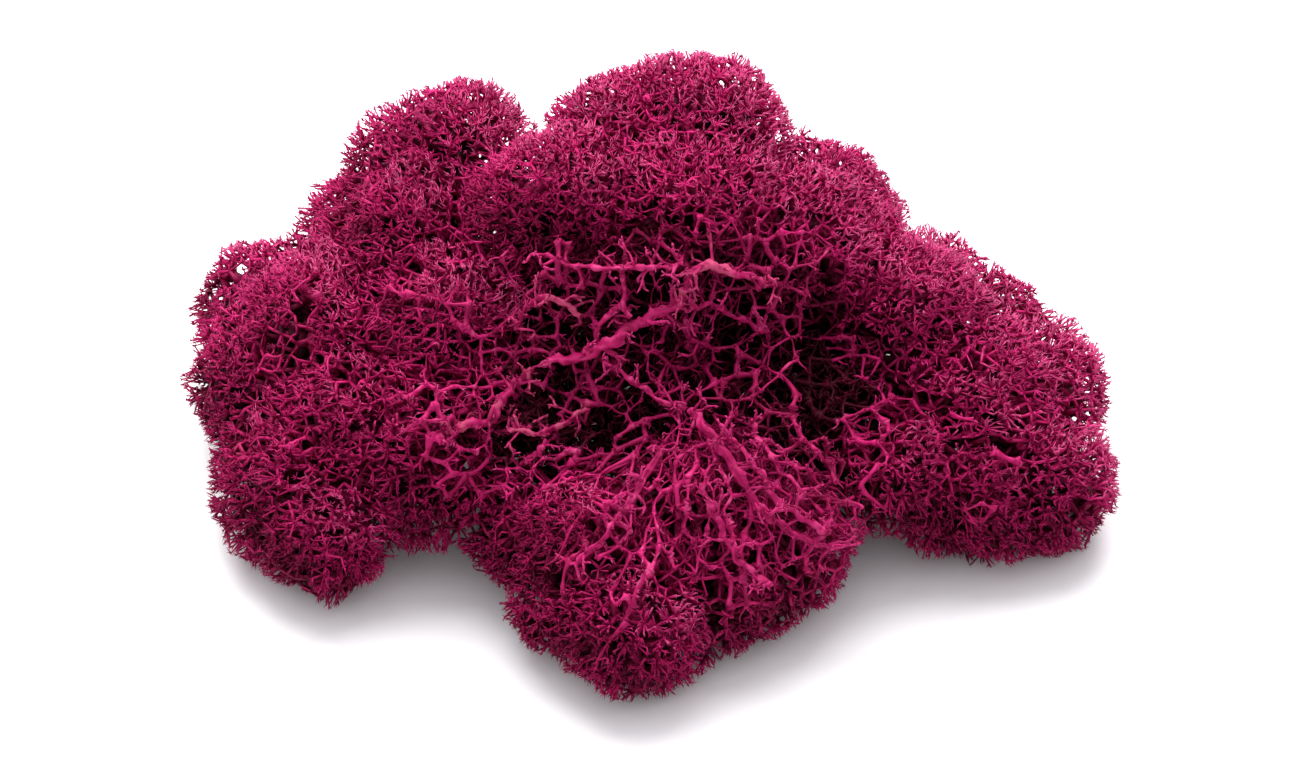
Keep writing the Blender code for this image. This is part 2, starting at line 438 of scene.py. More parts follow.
@dataclass(frozen=True, eq=False)
class Hull:
    """The convex solid that a crown fills, as the planes of its faces.

    Attributes:
        name: the solid's node.
        normals: array (f, 3) of outward directions.
        offsets: array (f,) of the planes' distances from the origin, mm.
        centre: the middle of the solid, mm.
        radius: farthest corner from the middle, mm.
    """

    name: str
    normals: np.ndarray
    offsets: np.ndarray
    centre: np.ndarray
    radius: float

    @classmethod
    def of_node(cls, name: str, node: bpy.types.Object) -> "Hull":
        """Read the planes from a node of the frame.

        Args:
            name: of the node.
            node: its object.

        Returns:
            The solid; slivers of triangles give no plane.
        """
        mesh = node.data
        mesh.calc_loop_triangles()
        places = np.empty(len(mesh.vertices) * 3, np.float32)
        mesh.vertices.foreach_get("co", places)
        places = places.reshape(-1, 3).astype(float) / MM
        picks = np.empty(len(mesh.loop_triangles) * 3, np.int32)
        mesh.loop_triangles.foreach_get("vertices", picks)
        a, b, c = places[picks.reshape(-1, 3)].transpose(1, 0, 2)
        square = np.cross(b - a, c - a)
        area = np.linalg.norm(square, axis=1)
        kept = area > 1e-4
        normals = square[kept] / area[kept, None]
        middle = ((a + b + c)[kept] / 3.0 * area[kept, None]).sum(0) / area[kept].sum()
        offsets = (normals * a[kept]).sum(1)
        radius = float(np.linalg.norm(places - middle, axis=1).max())
        return cls(name, normals, offsets, middle, radius)

    def depth(self, points: np.ndarray) -> tuple[np.ndarray, np.ndarray]:
        """How deep points lie inside: the least distance to any face plane, negative outside.

        Args:
            points: array (n, 3), mm.

        Returns:
            Depth (n,), mm, and the outward direction of the nearest face plane (n, 3).
        """
        room = self.offsets - points @ self.normals.T
        face = room.argmin(1)
        return room[np.arange(len(points)), face], self.normals[face]

    def reach(self, directions: np.ndarray) -> np.ndarray:
        """Distance from the middle to the surface.

        Args:
            directions: array (n, 3) of unit directions.

        Returns:
            Array (n,), mm.
        """
        room = self.offsets - self.centre @ self.normals.T
        slant = directions @ self.normals.T
        return np.where(slant > 1e-6, room / np.maximum(slant, 1e-6), np.inf).min(1)

    def seen_at(self, starts: np.ndarray) -> np.ndarray:
        """How far from start points, as the view goes, the solid is met.

        Args:
            starts: array (n, 3), mm.

        Returns:
            Array (n,), mm, with inf where the solid is missed.
        """
        slant = self.normals @ -TOWARDS_VIEW
        room = self.offsets - starts @ self.normals.T
        ratio = room / np.where(np.abs(slant) < 1e-9, 1e-9, slant)
        enter = np.where(slant < 0, ratio, -np.inf).max(1)
        leave = np.where(slant > 0, ratio, np.inf).min(1)
        return np.where(enter < leave, enter, np.inf)


@dataclass(frozen=True)
class Mass:
    """Solids melted together into one lumpy mass.

    Attributes:
        hulls: the solids.
        blend: how far the creases between them are filled, mm.
    """

    hulls: tuple[Hull, ...]
    blend: float = 3.0

    FADE: ClassVar[float] = 3.2  # mm of depth that take the painted light down to a third where it's brightest: painted shade deeper in the mass
    OUTER: ClassVar[float] = 0.3  # mm of depth that take nothing off the painted light
    HALVINGS: ClassVar[int] = 9

    def near(self, hull: Hull, room: float) -> "Mass":
        """The part of the mass around one solid.

        Args:
            hull: the solid.
            room: how far from it others still count, mm.

        Returns:
            The solids whose spheres come that near, its own among them.
        """
        found = tuple(
            other
            for other in self.hulls
            if np.linalg.norm(other.centre - hull.centre) < other.radius + hull.radius + room
        )
        return Mass(found, self.blend)

    def melt(self, points: np.ndarray) -> tuple[np.ndarray, np.ndarray, np.ndarray]:
        """How deep points lie in the melted mass.

        The depth is blend times the logarithm of the sum of exp(depth / blend) over the solids,
        and the outward direction is the solids' mean direction with the same weights.

        Args:
            points: array (n, 3), mm.

        Returns:
            Depth (n,), index of the solid that each point is deepest in (n,), and direction (n, 3).
        """
        depths, normals = zip(*(hull.depth(points) for hull in self.hulls))
        depths, normals = np.stack(depths), np.stack(normals)
        most = depths.max(0)
        weights = np.exp((depths - most) / self.blend)
        outward = unit((weights[..., None] * normals).sum(0))
        return most + self.blend * np.log(weights.sum(0)), depths.argmax(0), outward

    def age(self, points: np.ndarray) -> np.ndarray:
        """How light the moss is painted: bright at the outside, with painted shade taking it to 0
        deep in the mass.

        The painted light is the facing light times exp(-depth / (FADE facing^1.5)), where the facing
        light is the painted light by facing on the nearest outside.

        Args:
            points: array (n, 3), mm.

        Returns:
            Array (n,) from 0 to 1.
        """
        depth, _, outward = self.melt(points)
        bright = painted_facing_light(outward)
        return np.exp(-np.maximum(depth - self.OUTER, 0.0) / (self.FADE * bright**1.5)) * bright

    def surface(
        self, starts: np.ndarray, rays: np.ndarray, low: np.ndarray, high: np.ndarray
    ) -> np.ndarray:
        """Find where rays leave the mass, by halving the stretch between an inner and outer end.

        Args:
            starts: array (n, 3) or (3,).
            rays: array (n, 3) of unit directions.
            low: array (n,), distances that lie inside.
            high: array (n,), distances that lie outside.

        Returns:
            Array (n,) of distances.
        """
        for _ in range(self.HALVINGS):
            middle = (low + high) / 2.0
            inside = self.melt(starts + rays * middle[:, None])[0] > 0.0
            low, high = np.where(inside, middle, low), np.where(inside, high, middle)
        return (low + high) / 2.0


@dataclass(frozen=True)
class Opening:
    """A place on the open side where the tips give way to bare branches.

    Attributes:
        across: centre, mm.
        up: centre, mm.
        half_width: mm.
        half_height: mm.
        strength: how open its middle is, from 0 to 1.
    """

    across: float
    up: float
    half_width: float
    half_height: float
    strength: float

    def at(self, places: np.ndarray) -> np.ndarray:
        """Openness: full inside the ellipse, fading to 0 past its rim.

        Args:
            places: array (n, 3) in the frame of the open side, mm.

        Returns:
            Array (n,) from 0 to the strength.
        """
        away = np.hypot(
            (places[:, 0] - self.across) / self.half_width,
            (places[:, 1] - self.up) / self.half_height,
        )
        return self.strength * (1.0 - smooth_step(away, 0.75, 1.2))


OPENINGS = (
    Opening(2.0, 3.5, 22.0, 11.0, 1.0),
    Opening(8.0, -13.5, 14.5, 10.5, 1.0),
    Opening(-17.0, -6.0, 12.0, 8.0, 0.85),
    Opening(9.0, 15.0, 16.0, 5.0, 0.55),
    Opening(23.0, -3.0, 9.0, 7.0, 0.9),
)


def openness(points: np.ndarray, outward: np.ndarray) -> np.ndarray:
    """How bare the clump is at points of its surface, from 0 to 1.

    The widest opening counts, roughened by slow lumps, and only where the surface faces the view.

    Args:
        points: array (n, 3), mm.
        outward: array (n, 3) of the surface's outward directions.

    Returns:
        Array (n,).
    """
    places = to_slope(points)
    bare = np.max([opening.at(places) for opening in OPENINGS], axis=0)
    facing = smooth_step(outward @ TOWARDS_VIEW, -0.35, 0.25)
    patches = 0.7 * smooth_step(swell(points, 4.0, 11), 0.3, 0.75)
    patches *= 1.0 - smooth_step(places[:, 1] + 0.2 * places[:, 0], 8.0, 18.0)
    return np.clip(np.maximum(bare, patches) * facing, 0.0, 1.0)


@dataclass(frozen=True)
class MossFinish:
    """Matt dyed lichen, coloured by the painted light that the branches carry and darkened by their
    own tone.

    Attributes:
        name: of the material.
        colours: the stops of painted light and their colours, from the painted shade deep in the
            clump to the lit tips.
        dark_share: how much darker the darkest branches are.
    """

    name: str
    colours: tuple[tuple[float, tuple[float, float, float]], ...]
    dark_share: float

    def material(self) -> bpy.types.Material:
        """Make the material.

        Returns:
            A material whose colour follows the branches' painted light and is darkened by their own
            tone.
        """
        made = bpy.data.materials.new(self.name)
        made.use_nodes = True
        nodes, links = made.node_tree.nodes, made.node_tree.links
        shader = nodes["Principled BSDF"]
        places = nodes.new("ShaderNodeUVMap")
        places.uv_map = "OFBake"
        split = nodes.new("ShaderNodeSeparateXYZ")
        links.new(places.outputs["UV"], split.inputs[0])
        ramp = nodes.new("ShaderNodeValToRGB")
        stops = ramp.color_ramp.elements
        while len(stops) < len(self.colours):
            stops.new(1.0)
        for stop, (age, colour) in zip(stops, self.colours):
            stop.position, stop.color = age, (*colour, 1.0)
        links.new(split.outputs["X"], ramp.inputs["Fac"])
        shade = nodes.new("ShaderNodeMapRange")
        shade.inputs["To Min"].default_value = 1.0 - self.dark_share
        shade.inputs["To Max"].default_value = 1.0
        links.new(split.outputs["Y"], shade.inputs["Value"])
        darker = nodes.new("ShaderNodeMix")
        darker.data_type = "RGBA"
        darker.blend_type = "MULTIPLY"
        darker.inputs["Factor"].default_value = 1.0
        links.new(ramp.outputs["Color"], darker.inputs["A"])
        links.new(shade.outputs["Result"], darker.inputs["B"])
        links.new(darker.outputs["Result"], shader.inputs["Base Color"])
        shader.inputs["Roughness"].default_value = 0.55
        shader.inputs["Specular IOR Level"].default_value = 0.12
        return made


@dataclass(frozen=True)
class WebLayer:
    """One depth of the web of branches inside a crown.

    Attributes:
        top: least depth under the melted outside, mm.
        bottom: most depth, mm.
        step: between forks, mm.
        radius: of the branches at the layer's forks, mm.
    """

    top: float
    bottom: float
    step: float
    radius: float


WEB = (
    WebLayer(0.9, 2.2, 1.4, 0.2),
    WebLayer(2.2, 4.2, 1.85, 0.5),
    WebLayer(4.2, 99.0, 2.3, 1.25),
)


@dataclass
class Tips:
    """The tips of a crown.

    Attributes:
        place: array (n, 3), mm.
        outward: array (n, 3), the ways that they point.
        ray: array (n, 3), directions from the crown's middle.
        shade: array (n,) from 0 to 1.
    """

    place: np.ndarray
    outward: np.ndarray
    ray: np.ndarray
    shade: np.ndarray

    def part(self, picked: np.ndarray) -> "Tips":
        """Some of the tips."""
        return Tips(self.place[picked], self.outward[picked], self.ray[picked], self.shade[picked])


@dataclass
class Ends:
    """The ends of a set of branches, all their starts or all their finishes.

    Attributes:
        place: array (n, 3), mm.
        lean: array (n, 3), the ways that the branches lean there.
        age: array (n,), the painted light and tone.
    """

    place: np.ndarray
    lean: np.ndarray
    age: np.ndarray

    def part(self, picked: np.ndarray) -> "Ends":
        """The ends of some of the branches."""
        return Ends(self.place[picked], self.lean[picked], self.age[picked])


@dataclass
class Crown:
    """One sprig's crown, grown inside its solid.

    Attributes:
        hull: the solid that the tips reach.
        mass: the crowns' solids around it, its own among them.
        stems: array (m, 4) of places on the bare stems, mm, and the radius there.
        source: where the clump's branches come from, mm.
        spacing: distance between neighbouring tips, mm.
        opens: how far the openings thin this crown, from 0 to 1.
        rng: source of chance.
    """

    hull: Hull
    mass: Mass
    stems: np.ndarray
    source: np.ndarray
    spacing: float
    opens: float
    rng: np.random.Generator

    TIP: ClassVar[np.ndarray] = np.array([0.1, 0.0])  # mm, radius at the foot and the point
    TWIG: ClassVar[np.ndarray] = np.array([0.13, 0.11])  # mm, radius at the web and the fork
    LONGEST_TWIG: ClassVar[float] = 3.4  # mm
    FEWEST: ClassVar[int] = 10  # tips, below which a crown grows none
    FILLING: ClassVar[float] = 0.8  # share of the tips kept where the crown is a full sphere
    FORK_SPACING: ClassVar[float] = 1.7  # as a share of the spacing of the tips
    FORK_DEPTH: ClassVar[float] = 0.64  # mm under the mean of its tips
    CROWDED: ClassVar[float] = 0.89  # share of the spacing at which places are spread at first
    RAGGED: ClassVar[float] = 0.45  # mm, the most that chance alone sinks a tip
    BUNCH_SPACING: ClassVar[float] = 1.9  # mm
    BUNCH_HEIGHT: ClassVar[float] = 0.3  # mm
    HEAD_SPACING: ClassVar[float] = 3.8  # mm
    HEAD_HEIGHT: ClassVar[float] = 0.8  # mm
    RIM: ClassVar[float] = 0.62  # from the middle to the rim, as a share of the spacing
    UNEVEN: ClassVar[float] = 0.55  # how unevenly the heads stand, as a share of their height
    BARE: ClassVar[tuple[float, float]] = (0.15, 0.55)  # openness at which heads are left out
    SWELL_SIZE: ClassVar[float] = 7.0  # mm
    SWELL_HEIGHT: ClassVar[float] = 0.5  # mm
    PROUD: ClassVar[float] = 0.3  # mm that the highest tips stand over the melted solids
    LINING: ClassVar[float] = 2.5  # mm by which inner forks near the floor count as deeper
    REACH: ClassVar[float] = 6.0  # mm over its solid, the farthest that the melted outside lies

    def grow(self) -> Growth:
        """Grow the crown.

        Returns:
            The branches of every order.
        """
        growth = Growth(self.hull.name + "_moss", self.rng)
        tips = self.tips()
        web = self.web_places()
        if len(tips.place) > self.FEWEST:
            self.stand_tips(growth, tips, web)
        self.weave(growth, web)
        return growth

    def owned(self, points: np.ndarray, over: float) -> tuple[np.ndarray, np.ndarray, np.ndarray]:
        """Tell which points of the mass are this crown's own: those deepest in its solid.

        Args:
            points: array (n, 3), mm.
            over: how much deeper a point may lie in another solid and still count, mm.

        Returns:
            Depth in the mass (n,), whether each point is the crown's own (n,) and the outward
            direction (n, 3).
        """
        depth, owner, outward = self.mass.melt(points)
        mine, _ = self.hull.depth(points)
        rest = tuple(other for other in self.mass.hulls if other is not self.hull)
        own = owner == self.mass.hulls.index(self.hull)
        if over:
            close = ~own & (depth > mine - over)
            theirs = np.max([other.depth(points[close])[0] for other in rest], axis=0)
            own[close] = mine[close] > theirs - over
        return depth, own, outward

    def spread(self, spacing: float) -> np.ndarray:
        """Even directions whose points on the crown's outermost sphere lie a spacing apart."""
        count = int(4.0 * math.pi * self.hull.radius**2 / (ROW * spacing**2))
        return even_directions(max(count, 6), self.rng, 0.22)

    def tips(self) -> Tips:
        """Spread tips evenly on the crown's free outside and dome them in heads.

        A tip at a share q of the way from the middle of its head or bunch to its rim sinks by
        height times q^2. Whole heads are left out where the clump is open.

        Returns:
            The tips.
        """
        places, outward, rays = self.outside()
        sink = self.RAGGED * self.rng.uniform(size=len(places)) ** 1.5 - self.PROUD
        sink += self.SWELL_HEIGHT * np.clip(swell(places, self.SWELL_SIZE, 3), -1.0, 1.0)
        for spacing, height in (
            (self.BUNCH_SPACING, self.BUNCH_HEIGHT),
            (self.HEAD_SPACING, self.HEAD_HEIGHT),
        ):
            middles = self.spread(spacing)
            head = np.argmax(rays @ middles.T, axis=1)
            away = np.linalg.norm(rays - middles[head], axis=1) * self.hull.radius
            sink += height * np.clip(away / (self.RIM * spacing), 0.0, 1.3) ** 2
            sink += self.rng.normal(size=len(middles))[head] * self.UNEVEN * height
        members = np.maximum(np.bincount(head, minlength=len(middles)), 1)
        bare = np.bincount(head, self.opens * openness(places, outward), len(middles)) / members
        covered = (bare < self.rng.uniform(*self.BARE, len(middles)))[head]
        shade = 0.75 * self.rng.uniform(size=len(middles))[head]
        shade += 0.25 * self.rng.uniform(size=len(places))
        return Tips(places - outward * sink[:, None], outward, rays, shade).part(covered)

    def outside(self) -> tuple[np.ndarray, np.ndarray, np.ndarray]:
        """Spread places evenly on the crown's free outside, thinner where it faces down.

        Even rays meet the outside closer together where it is near or square to them, so a place
        at a distance d is kept with a chance of d^2 over the cosine of the slant.

        Returns:
            Places (n, 3), outward directions (n, 3) and directions from the middle (n, 3).
        """
        rays = self.spread(self.spacing * self.CROWDED)
        low = self.hull.reach(rays)
        distance = self.mass.surface(self.hull.centre, rays, low * 0.9, low + self.REACH)
        places = self.hull.centre + rays * distance[:, None]
        depth, own, normal = self.owned(places, 0.0)
        share = self.FILLING * (distance / self.hull.radius) ** 2
        share /= np.maximum((rays * normal).sum(1), 0.35)
        share *= 1.0 - 0.45 * smooth_step(-normal[:, 2], 0.25, 0.7)
        own &= (np.abs(depth) < 0.1) & (self.rng.uniform(size=len(rays)) < share)
        own &= ~self.hides_stem(places)
        return places[own], unit(rays + normal)[own], rays[own]

    def hides_stem(self, places: np.ndarray) -> np.ndarray:
        """Tell which places lie over a bare stem, as seen on the open side.

        Args:
            places: array (n, 3), mm.

        Returns:
            Array (n,) of booleans.
        """
        away = places[:, None] - self.stems[None, :, :3]
        over = away @ TOWARDS_VIEW
        beside = np.sqrt(np.maximum((away**2).sum(2) - over**2, 0.0))
        return ((over > -0.6) & (beside < self.stems[:, 3] + 0.2)).any(1)

    def web_places(self) -> list[np.ndarray]:
        """Forks of the web, for each of its layers: a shaken cubic grid at the layer's depths.

        Returns:
            Arrays (n, 3), from the outermost layer in.
        """
        found = []
        for layer in WEB:
            step = layer.step * max(1.0, 1.0 + 0.6 * (self.spacing - 0.6))
            side = np.arange(-self.hull.radius - 1.0, self.hull.radius + 1.0, step)
            grid = np.stack(np.meshgrid(side, side, side, indexing="ij"), -1).reshape(-1, 3)
            grid = self.hull.centre + grid + self.rng.normal(size=grid.shape) * SHAKE * step
            depth, own, outward = self.owned(grid, 0.5 * layer.step)
            low = 1.0 - smooth_step(grid[:, 2], 2.0, 6.0)
            depth += self.LINING * low * smooth_step(depth, 1.2, 2.2)
            own &= (depth > layer.top) & (depth < layer.bottom) & (grid[:, 2] > 0.4)
            if layer is WEB[0]:
                thin = 0.6 * self.opens * openness(grid, outward)
                thin = np.maximum(thin, 0.5 * smooth_step(-outward[:, 2], 0.2, 0.6))
                own &= self.rng.uniform(size=len(grid)) > thin
            found.append(grid[own])
        return found

    def stand_tips(self, growth: Growth, tips: Tips, web: list[np.ndarray]) -> None:
        """Gather the tips in twos and threes on twigs that stand on the web.

        A twig's fork lies under the mean of its tips, and its foot is the nearest fork of the web.

        Args:
            growth: takes the tips and the twigs.
            tips: the tips.
            web: the web's forks.
        """
        nearest = np.argmax(tips.ray @ self.spread(self.FORK_SPACING * self.spacing).T, axis=1)
        _, holder = np.unique(nearest, return_inverse=True)
        members = np.bincount(holder)[:, None]
        mean, lean, tint = (
            np.stack([np.bincount(holder, row) for row in np.atleast_2d(values.T)], 1) / members
            for values in (tips.place, tips.outward, tips.shade)
        )
        lean = unit(lean)
        home = unit(self.source - mean)
        forks = mean + unit(0.45 * home - lean) * self.FORK_DEPTH
        forks += self.rng.normal(size=forks.shape) * SHAKE
        feet = np.concatenate(web)
        feet = feet[np.linalg.norm(forks[:, None] - feet[None], axis=2).argmin(1)]
        near = np.linalg.norm(forks - feet, axis=1) < self.LONGEST_TWIG
        fork = Ends(forks, lean, self.mass.age(forks))
        foot = Ends(feet, unit(lean - 0.5 * home), self.mass.age(feet))
        # painted light: tips facing the lit side are painted brightest, tips facing down darker
        tip = Ends(tips.place, tips.outward, painted_facing_light(tips.outward))
        held = near[holder]
        self.strands(growth, fork.part(holder[held]), tip.part(held), self.TIP, tips.shade[held])
        self.strands(growth, foot.part(near), fork.part(near), self.TWIG, tint[near, 0])

    def strands(
        self,
        growth: Growth,
        start: Ends,
        end: Ends,
        radii: np.ndarray,
        tint: np.ndarray,
    ) -> None:
        """Draw three-sided branches from start to end.

        Args:
            growth: takes the branches.
            start: of each branch.
            end: of each branch.
            radii: array (2,) or (n, 2), at the start and the end, mm; ends of 0 are points.
            tint: array (n,), shade.
        """
        rings = np.array([0.0, 1.0])
        heading = unit(end.place - start.place)
        leave, arrive = unit(heading + 0.8 * start.lean), unit(heading + 0.5 * end.lean)
        paths = arched(start.place, end.place, leave, arrive, rings)
        thick = radii * self.rng.uniform(0.85, 1.2, (len(heading), 1))
        age = start.age[:, None] + (end.age - start.age)[:, None] * rings
        growth.add(Tubes(paths, thick, age, tint, 3, pointed=not radii[..., -1].any()))

    def weave(self, growth: Growth, web: list[np.ndarray]) -> None:
        """Join the web's forks to their neighbours, thicker the deeper they lie.

        Args:
            growth: takes the branches.
            web: the web's forks, by layer.
        """
        forks = np.concatenate(web)
        rank = np.repeat(np.arange(len(web)), [len(places) for places in web])
        flow = unit(unit(forks - self.hull.centre) + unit(forks - self.source))
        pairs = neighbours(forks, 2.4 * WEB[-1].step, flow, 1.35)
        age = self.mass.age(forks)
        first, second = pairs.T
        bow = self.rng.normal(size=(len(first), 3)) * 0.5
        start = Ends(forks[first], bow, age[first])
        end = Ends(forks[second], -bow, age[second])
        radii = np.array([layer.radius for layer in WEB])[rank[pairs]]
        self.strands(growth, start, end, radii, self.rng.uniform(size=len(first)))


@dataclass(frozen=True)
class NetLayer:
    """One layer of the net of bare branches.

    Attributes:
        spacing: between forks, mm.
        depth: least and most that forks lie under the surface, mm.
        radius: least and most of the forks, mm; the links between them are thinner.
        sides: of the branches' tubes.
        twigs: twigs for each fork.
        stretch: how strongly the branches follow the direction of growth.
    """

    spacing: float
    depth: tuple[float, float]
    radius: tuple[float, float]
    sides: int
    twigs: int
    stretch: float


@dataclass
class OpenFace:
    """The net of bare branches over the open side of the clump.

    It lies on the crowns, and rises to the bare stems where they cross the hollow.

    Attributes:
        mass: the crowns' solids.
        stems: for each bare stem, its places and radii as an array (m, 4), mm.
        layer: what the net is like.
        source: where the clump's branches come from, mm.
        rng: source of chance.
    """

    mass: Mass
    stems: dict[str, np.ndarray]
    layer: NetLayer
    source: np.ndarray
    rng: np.random.Generator

    FAR: ClassVar[float] = 90.0  # mm proud of the open side, where the view starts
    HALF_WIDTH: ClassVar[float] = 50.0  # mm
    HALF_HEIGHT: ClassVar[float] = 36.0  # mm
    CREASE: ClassVar[float] = 6.0  # mm, the most that creases between solids are filled
    STEM_REACH: ClassVar[float] = 6.5  # mm beside a stem to which the net is lifted
    STEM_LIGHT_AND_TONE: ClassVar[float] = 0.85
    SHADED: ClassVar[float] = 0.82  # painted shade: the net's painted light as a share of the moss's around it
    RINGS: ClassVar[int] = 6
    FAN_ROOT: ClassVar[np.ndarray] = np.array([5.5, -1.0, 36.0])  # across, up and proud, mm

    def owners(self) -> list[str]:
        """Names of the pieces that the net can belong to: crowns, then stems."""
        return [hull.name for hull in self.mass.hulls] + list(self.stems)

    def roof(self, grid: np.ndarray) -> tuple[np.ndarray, np.ndarray, np.ndarray]:
        """Height of the stems over places of the open side, as a mean that favours near ones.

        Args:
            grid: array (n, 2) of places across and up the open side, mm.

        Returns:
            Height (n,), distance to the nearest stem (n,) and its index among the owners (n,).
        """
        marks = to_slope(np.concatenate(list(self.stems.values()))[:, :3])
        index = np.repeat(np.arange(len(self.stems)), [len(rows) for rows in self.stems.values()])
        beside = np.linalg.norm(grid[:, None] - marks[None, :, :2], axis=2)
        weight = (beside**2 + 0.5) ** -2.0
        height = (weight * marks[:, 2]).sum(1) / weight.sum(1)
        return height, beside.min(1), len(self.mass.hulls) + index[beside.argmin(1)]

    def flow(self, places: np.ndarray) -> np.ndarray:
        """Direction of growth: away from the clump's source, and over the toe from the fan's root.

        Args:
            places: array (n, 3), mm.

        Returns:
            Array (n, 3) of directions, as long as the growth is strict, up to 1.
        """
        across, up, _ = to_slope(places).T
        toe = smooth_step(-up, 4.0, 9.0) * (1.0 - smooth_step(np.abs(across - 4.0), 15.0, 20.0))
        toe = toe[:, None]
        root = from_slope(self.FAN_ROOT[None])
        flow = unit((1.0 - toe) * unit(places - self.source) + toe * unit(places - root))
        return flow * (0.6 + 0.4 * toe)

    def forks(self) -> tuple[np.ndarray, np.ndarray, np.ndarray]:
        """Forks of the net: a shaken triangular grid laid on the crowns where they are open.

        Returns:
            Places (n, 3), the index of each one's owner and its painted light.
        """
        step = self.layer.spacing
        columns = np.arange(-self.HALF_WIDTH, self.HALF_WIDTH, step)
        across, up = np.meshgrid(columns, np.arange(-self.HALF_HEIGHT, self.HALF_HEIGHT, step * ROW))
        across = across + (np.arange(len(across)) % 2)[:, None] * step / 2.0
        grid = np.stack([across.ravel(), up.ravel()], 1)
        grid += self.rng.normal(size=grid.shape) * SHAKE * step
        start = from_slope(np.column_stack([grid, np.full(len(grid), self.FAR)]))
        met = np.stack([hull.seen_at(start) for hull in self.mass.hulls], 1).min(1)
        hit = np.isfinite(met)
        grid, start, met = grid[hit], start[hit], met[hit]
        back = np.broadcast_to(-TOWARDS_VIEW, start.shape)
        met = self.mass.surface(start, back, met, met - self.CREASE)
        place = start + back * met[:, None]
        _, owner, outward = self.mass.melt(place)
        closed = self.rng.uniform(0.1, 0.5, len(place))
        closed += 0.25 * smooth_step(np.abs(grid[:, 0]), 20.0, 34.0)
        kept = openness(place, outward) > closed
        depth = self.rng.uniform(*self.layer.depth, len(place))
        height, beside, stem = self.roof(grid)
        rise = height - depth * 1.6 - 0.15 * beside - (self.FAR - met)
        lifted = (beside < self.STEM_REACH) & (rise > 0.0)
        place = place - unit(outward + TOWARDS_VIEW) * depth[:, None]
        place = np.where(lifted[:, None], place + TOWARDS_VIEW * (rise + depth)[:, None], place)
        owner = np.where(lifted, stem, owner)
        # painted shade: the net is painted darker the deeper it lies
        age = np.where(lifted, np.exp(-depth / 2.2), self.mass.age(place))
        return place[kept], owner[kept], age[kept]

    def grow(self, growths: dict[str, Growth]) -> int:
        """Add the net to the pieces that it belongs to.

        A link's radius goes evenly from one fork's to the other's, times 0.6 + 0.55 |2t - 1|^2.5 at
        a share t of its length, so that the forks look webbed.

        Args:
            growths: the pieces' branches, by node.

        Returns:
            How many links the net has.
        """
        places, owner, age, pairs = self.links()
        first, second = pairs.T
        flow = self.flow(places)
        start, end = places[first], places[second]
        span = np.linalg.norm(end - start, axis=1)
        lift = self.rng.normal(size=start.shape) * 0.3
        heading = unit(end - start)
        rings = np.linspace(0.0, 1.0, self.RINGS)
        leave = unit(heading + 0.8 * flow[first] + lift)
        arrive = unit(heading + 0.8 * flow[second] - lift)
        paths = arched(start, end, leave, arrive, rings)
        sag = self.rng.uniform(-0.05, 0.25, len(span)) * span
        paths -= TOWARDS_VIEW * (sag[:, None] * np.sin(math.pi * rings))[..., None]
        girth = self.girths(places, np.bincount(pairs.ravel(), minlength=len(places)))
        radii = girth[pairs[:, :1]] + (girth[pairs[:, 1:]] - girth[pairs[:, :1]]) * rings
        radii *= 0.6 + 0.55 * np.abs(2.0 * rings - 1.0) ** 2.5
        link_light = age[pairs[:, :1]] + (age[pairs[:, 1:]] - age[pairs[:, :1]]) * rings
        tint = self.rng.uniform(size=len(span))
        tubes = Tubes(paths, radii, self.SHADED * link_light, tint, self.layer.sides, rough=0.35)
        own = owner[pairs].max(1)
        self.share_out(growths, own, tubes)
        for _ in range(self.layer.twigs):
            ring = self.rng.integers(0, self.RINGS, len(span))
            self.twigs(growths, paths[np.arange(len(span)), ring], own, link_light.mean(1))
        return len(pairs)

    def links(self) -> tuple[np.ndarray, np.ndarray, np.ndarray, np.ndarray]:
        """Find the links of the net: between its forks, and from them to places on the stems.

        Returns:
            Places (n, 3), the index of each one's owner (n,), its painted light (n,), and the pairs
            of places that are linked (m, 2), the one nearer to the root first.
        """
        places, owner, age = self.forks()
        marks = [rows[::4, :3] for rows in self.stems.values()]
        own = np.repeat(np.arange(len(marks)), [len(rows) for rows in marks])
        places = np.concatenate([places, *marks])
        owner = np.concatenate([owner, own + len(self.mass.hulls)])
        age = np.concatenate([age, np.full(len(own), self.STEM_LIGHT_AND_TONE)])
        on_stem = np.arange(len(places)) >= len(places) - len(own)
        flow = self.flow(places)
        pairs = neighbours(places, 1.8 * self.layer.spacing, flow, self.layer.stretch)
        pairs = pairs[~on_stem[pairs].all(1)]
        back = ((places[pairs[:, 1]] - places[pairs[:, 0]]) * flow[pairs[:, 0]]).sum(1) < 0.0
        return places, owner, age, np.where(back[:, None], pairs[:, ::-1], pairs)

    def girths(self, places: np.ndarray, links: np.ndarray) -> np.ndarray:
        """Radius of the net at its forks: it swells and thins slowly, and loose ends are thin.

        Args:
            places: array (n, 3), mm.
            links: array (n,), how many links meet at each fork.

        Returns:
            Array (n,), mm.
        """
        thin, fat = self.layer.radius
        share = np.clip(0.45 + 0.55 * swell(places, 5.0, 61), 0.0, 1.0) ** 1.4
        girth = (thin + (fat - thin) * share) * self.rng.uniform(0.85, 1.15, len(places))
        return np.where(links > 1, girth, 0.5 * girth)

    def share_out(self, growths: dict[str, Growth], owner: np.ndarray, tubes: Tubes) -> None:
        """Give each piece the branches that it owns.

        Args:
            growths: the pieces' branches, by node.
            owner: array (n,), index of each branch's owner.
            tubes: the branches.
        """
        for index, name in enumerate(self.owners()):
            growths[name].add(tubes.part(owner == index))

